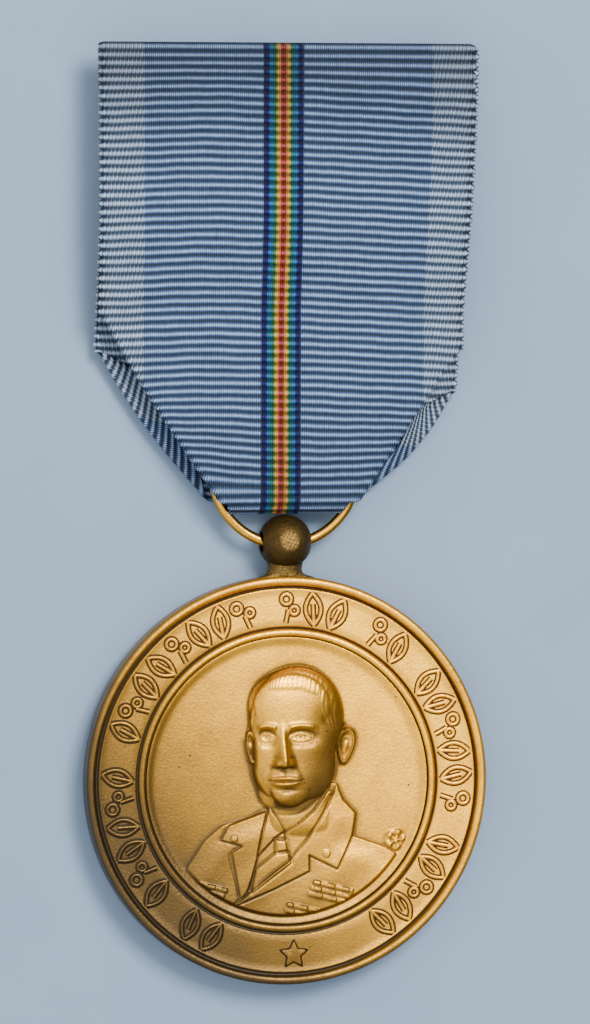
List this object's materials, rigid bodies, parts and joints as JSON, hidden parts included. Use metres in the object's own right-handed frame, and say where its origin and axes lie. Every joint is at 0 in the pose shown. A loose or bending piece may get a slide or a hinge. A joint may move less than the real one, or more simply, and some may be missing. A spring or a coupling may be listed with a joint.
{
  "type": "service medal",
  "caption": "Round struck gilt medal hung by a drilled ball and a wire ring from a folded ribbed ribbon, with a hinged pin brooch and turning safety catch on the ribbon's back.",
  "frame": {"origin": "on the surface that the medal lies on face up, under the middle of the bounding box", "axes": "+Z out of the medal's face, +Y from the disc towards the top fold of the ribbon, +X to the right of the face"},
  "size_m": [0.04, 0.092, 0.0055],
  "materials": {
    "gilt_bronze": "matte sandblasted gilding",
    "gilt_bronze_worn": "satin, lightly worn gilding",
    "gilt_wire": "satin gilding",
    "grosgrain_ribbon": "ribbed woven rayon, pale blue-grey with white edges and a rainbow centre stripe",
    "brooch_brass": "rolled and stamped, satin",
    "needle_steel": "drawn, polished",
    "sewing_thread": "twisted cotton thread"
  },
  "bodies": {
    "ribbon_and_brooch": {"ribbon": "grosgrain_ribbon", "brooch_bar": "brooch_brass", "brooch_hinge_bracket": "brooch_brass", "brooch_hinge_rivet": "needle_steel", "brooch_catch_housing": "brooch_brass", "thread_tack_1": "sewing_thread", "thread_tack_2": "sewing_thread", "thread_tack_3": "sewing_thread", "thread_tack_4": "sewing_thread"},
    "ring": {"suspension_ring": "gilt_wire"},
    "medal": {"medal_disc": "gilt_bronze", "suspension_ball": "gilt_bronze_worn"},
    "pin": {"brooch_pin": "needle_steel"},
    "catch_lock": {"brooch_catch_lock": "needle_steel"}
  },
  "joints": [
    {"name": "ring_slide", "type": "slide", "parent": "ribbon_and_brooch", "child": "ring", "axis": [0, -1, 0], "range_m": [0, 0.0068]},
    {"name": "medal_swing", "type": "hinge", "parent": "ring", "child": "medal", "pos_m": [0, -0.00265, 0.00265], "axis": [1, 0, 0], "range_deg": [-105, 105]},
    {"name": "pin_open", "type": "hinge", "parent": "ribbon_and_brooch", "child": "pin", "pos_m": [-0.0125, 0.037, 0.0017], "axis": [0, 1, 0], "range_deg": [0, 80]},
    {"name": "catch_turn", "type": "hinge", "parent": "ribbon_and_brooch", "child": "catch_lock", "pos_m": [0.0125, 0.037, 0.0017], "axis": [-1, 0, 0], "range_deg": [0, 100]}
  ]
}
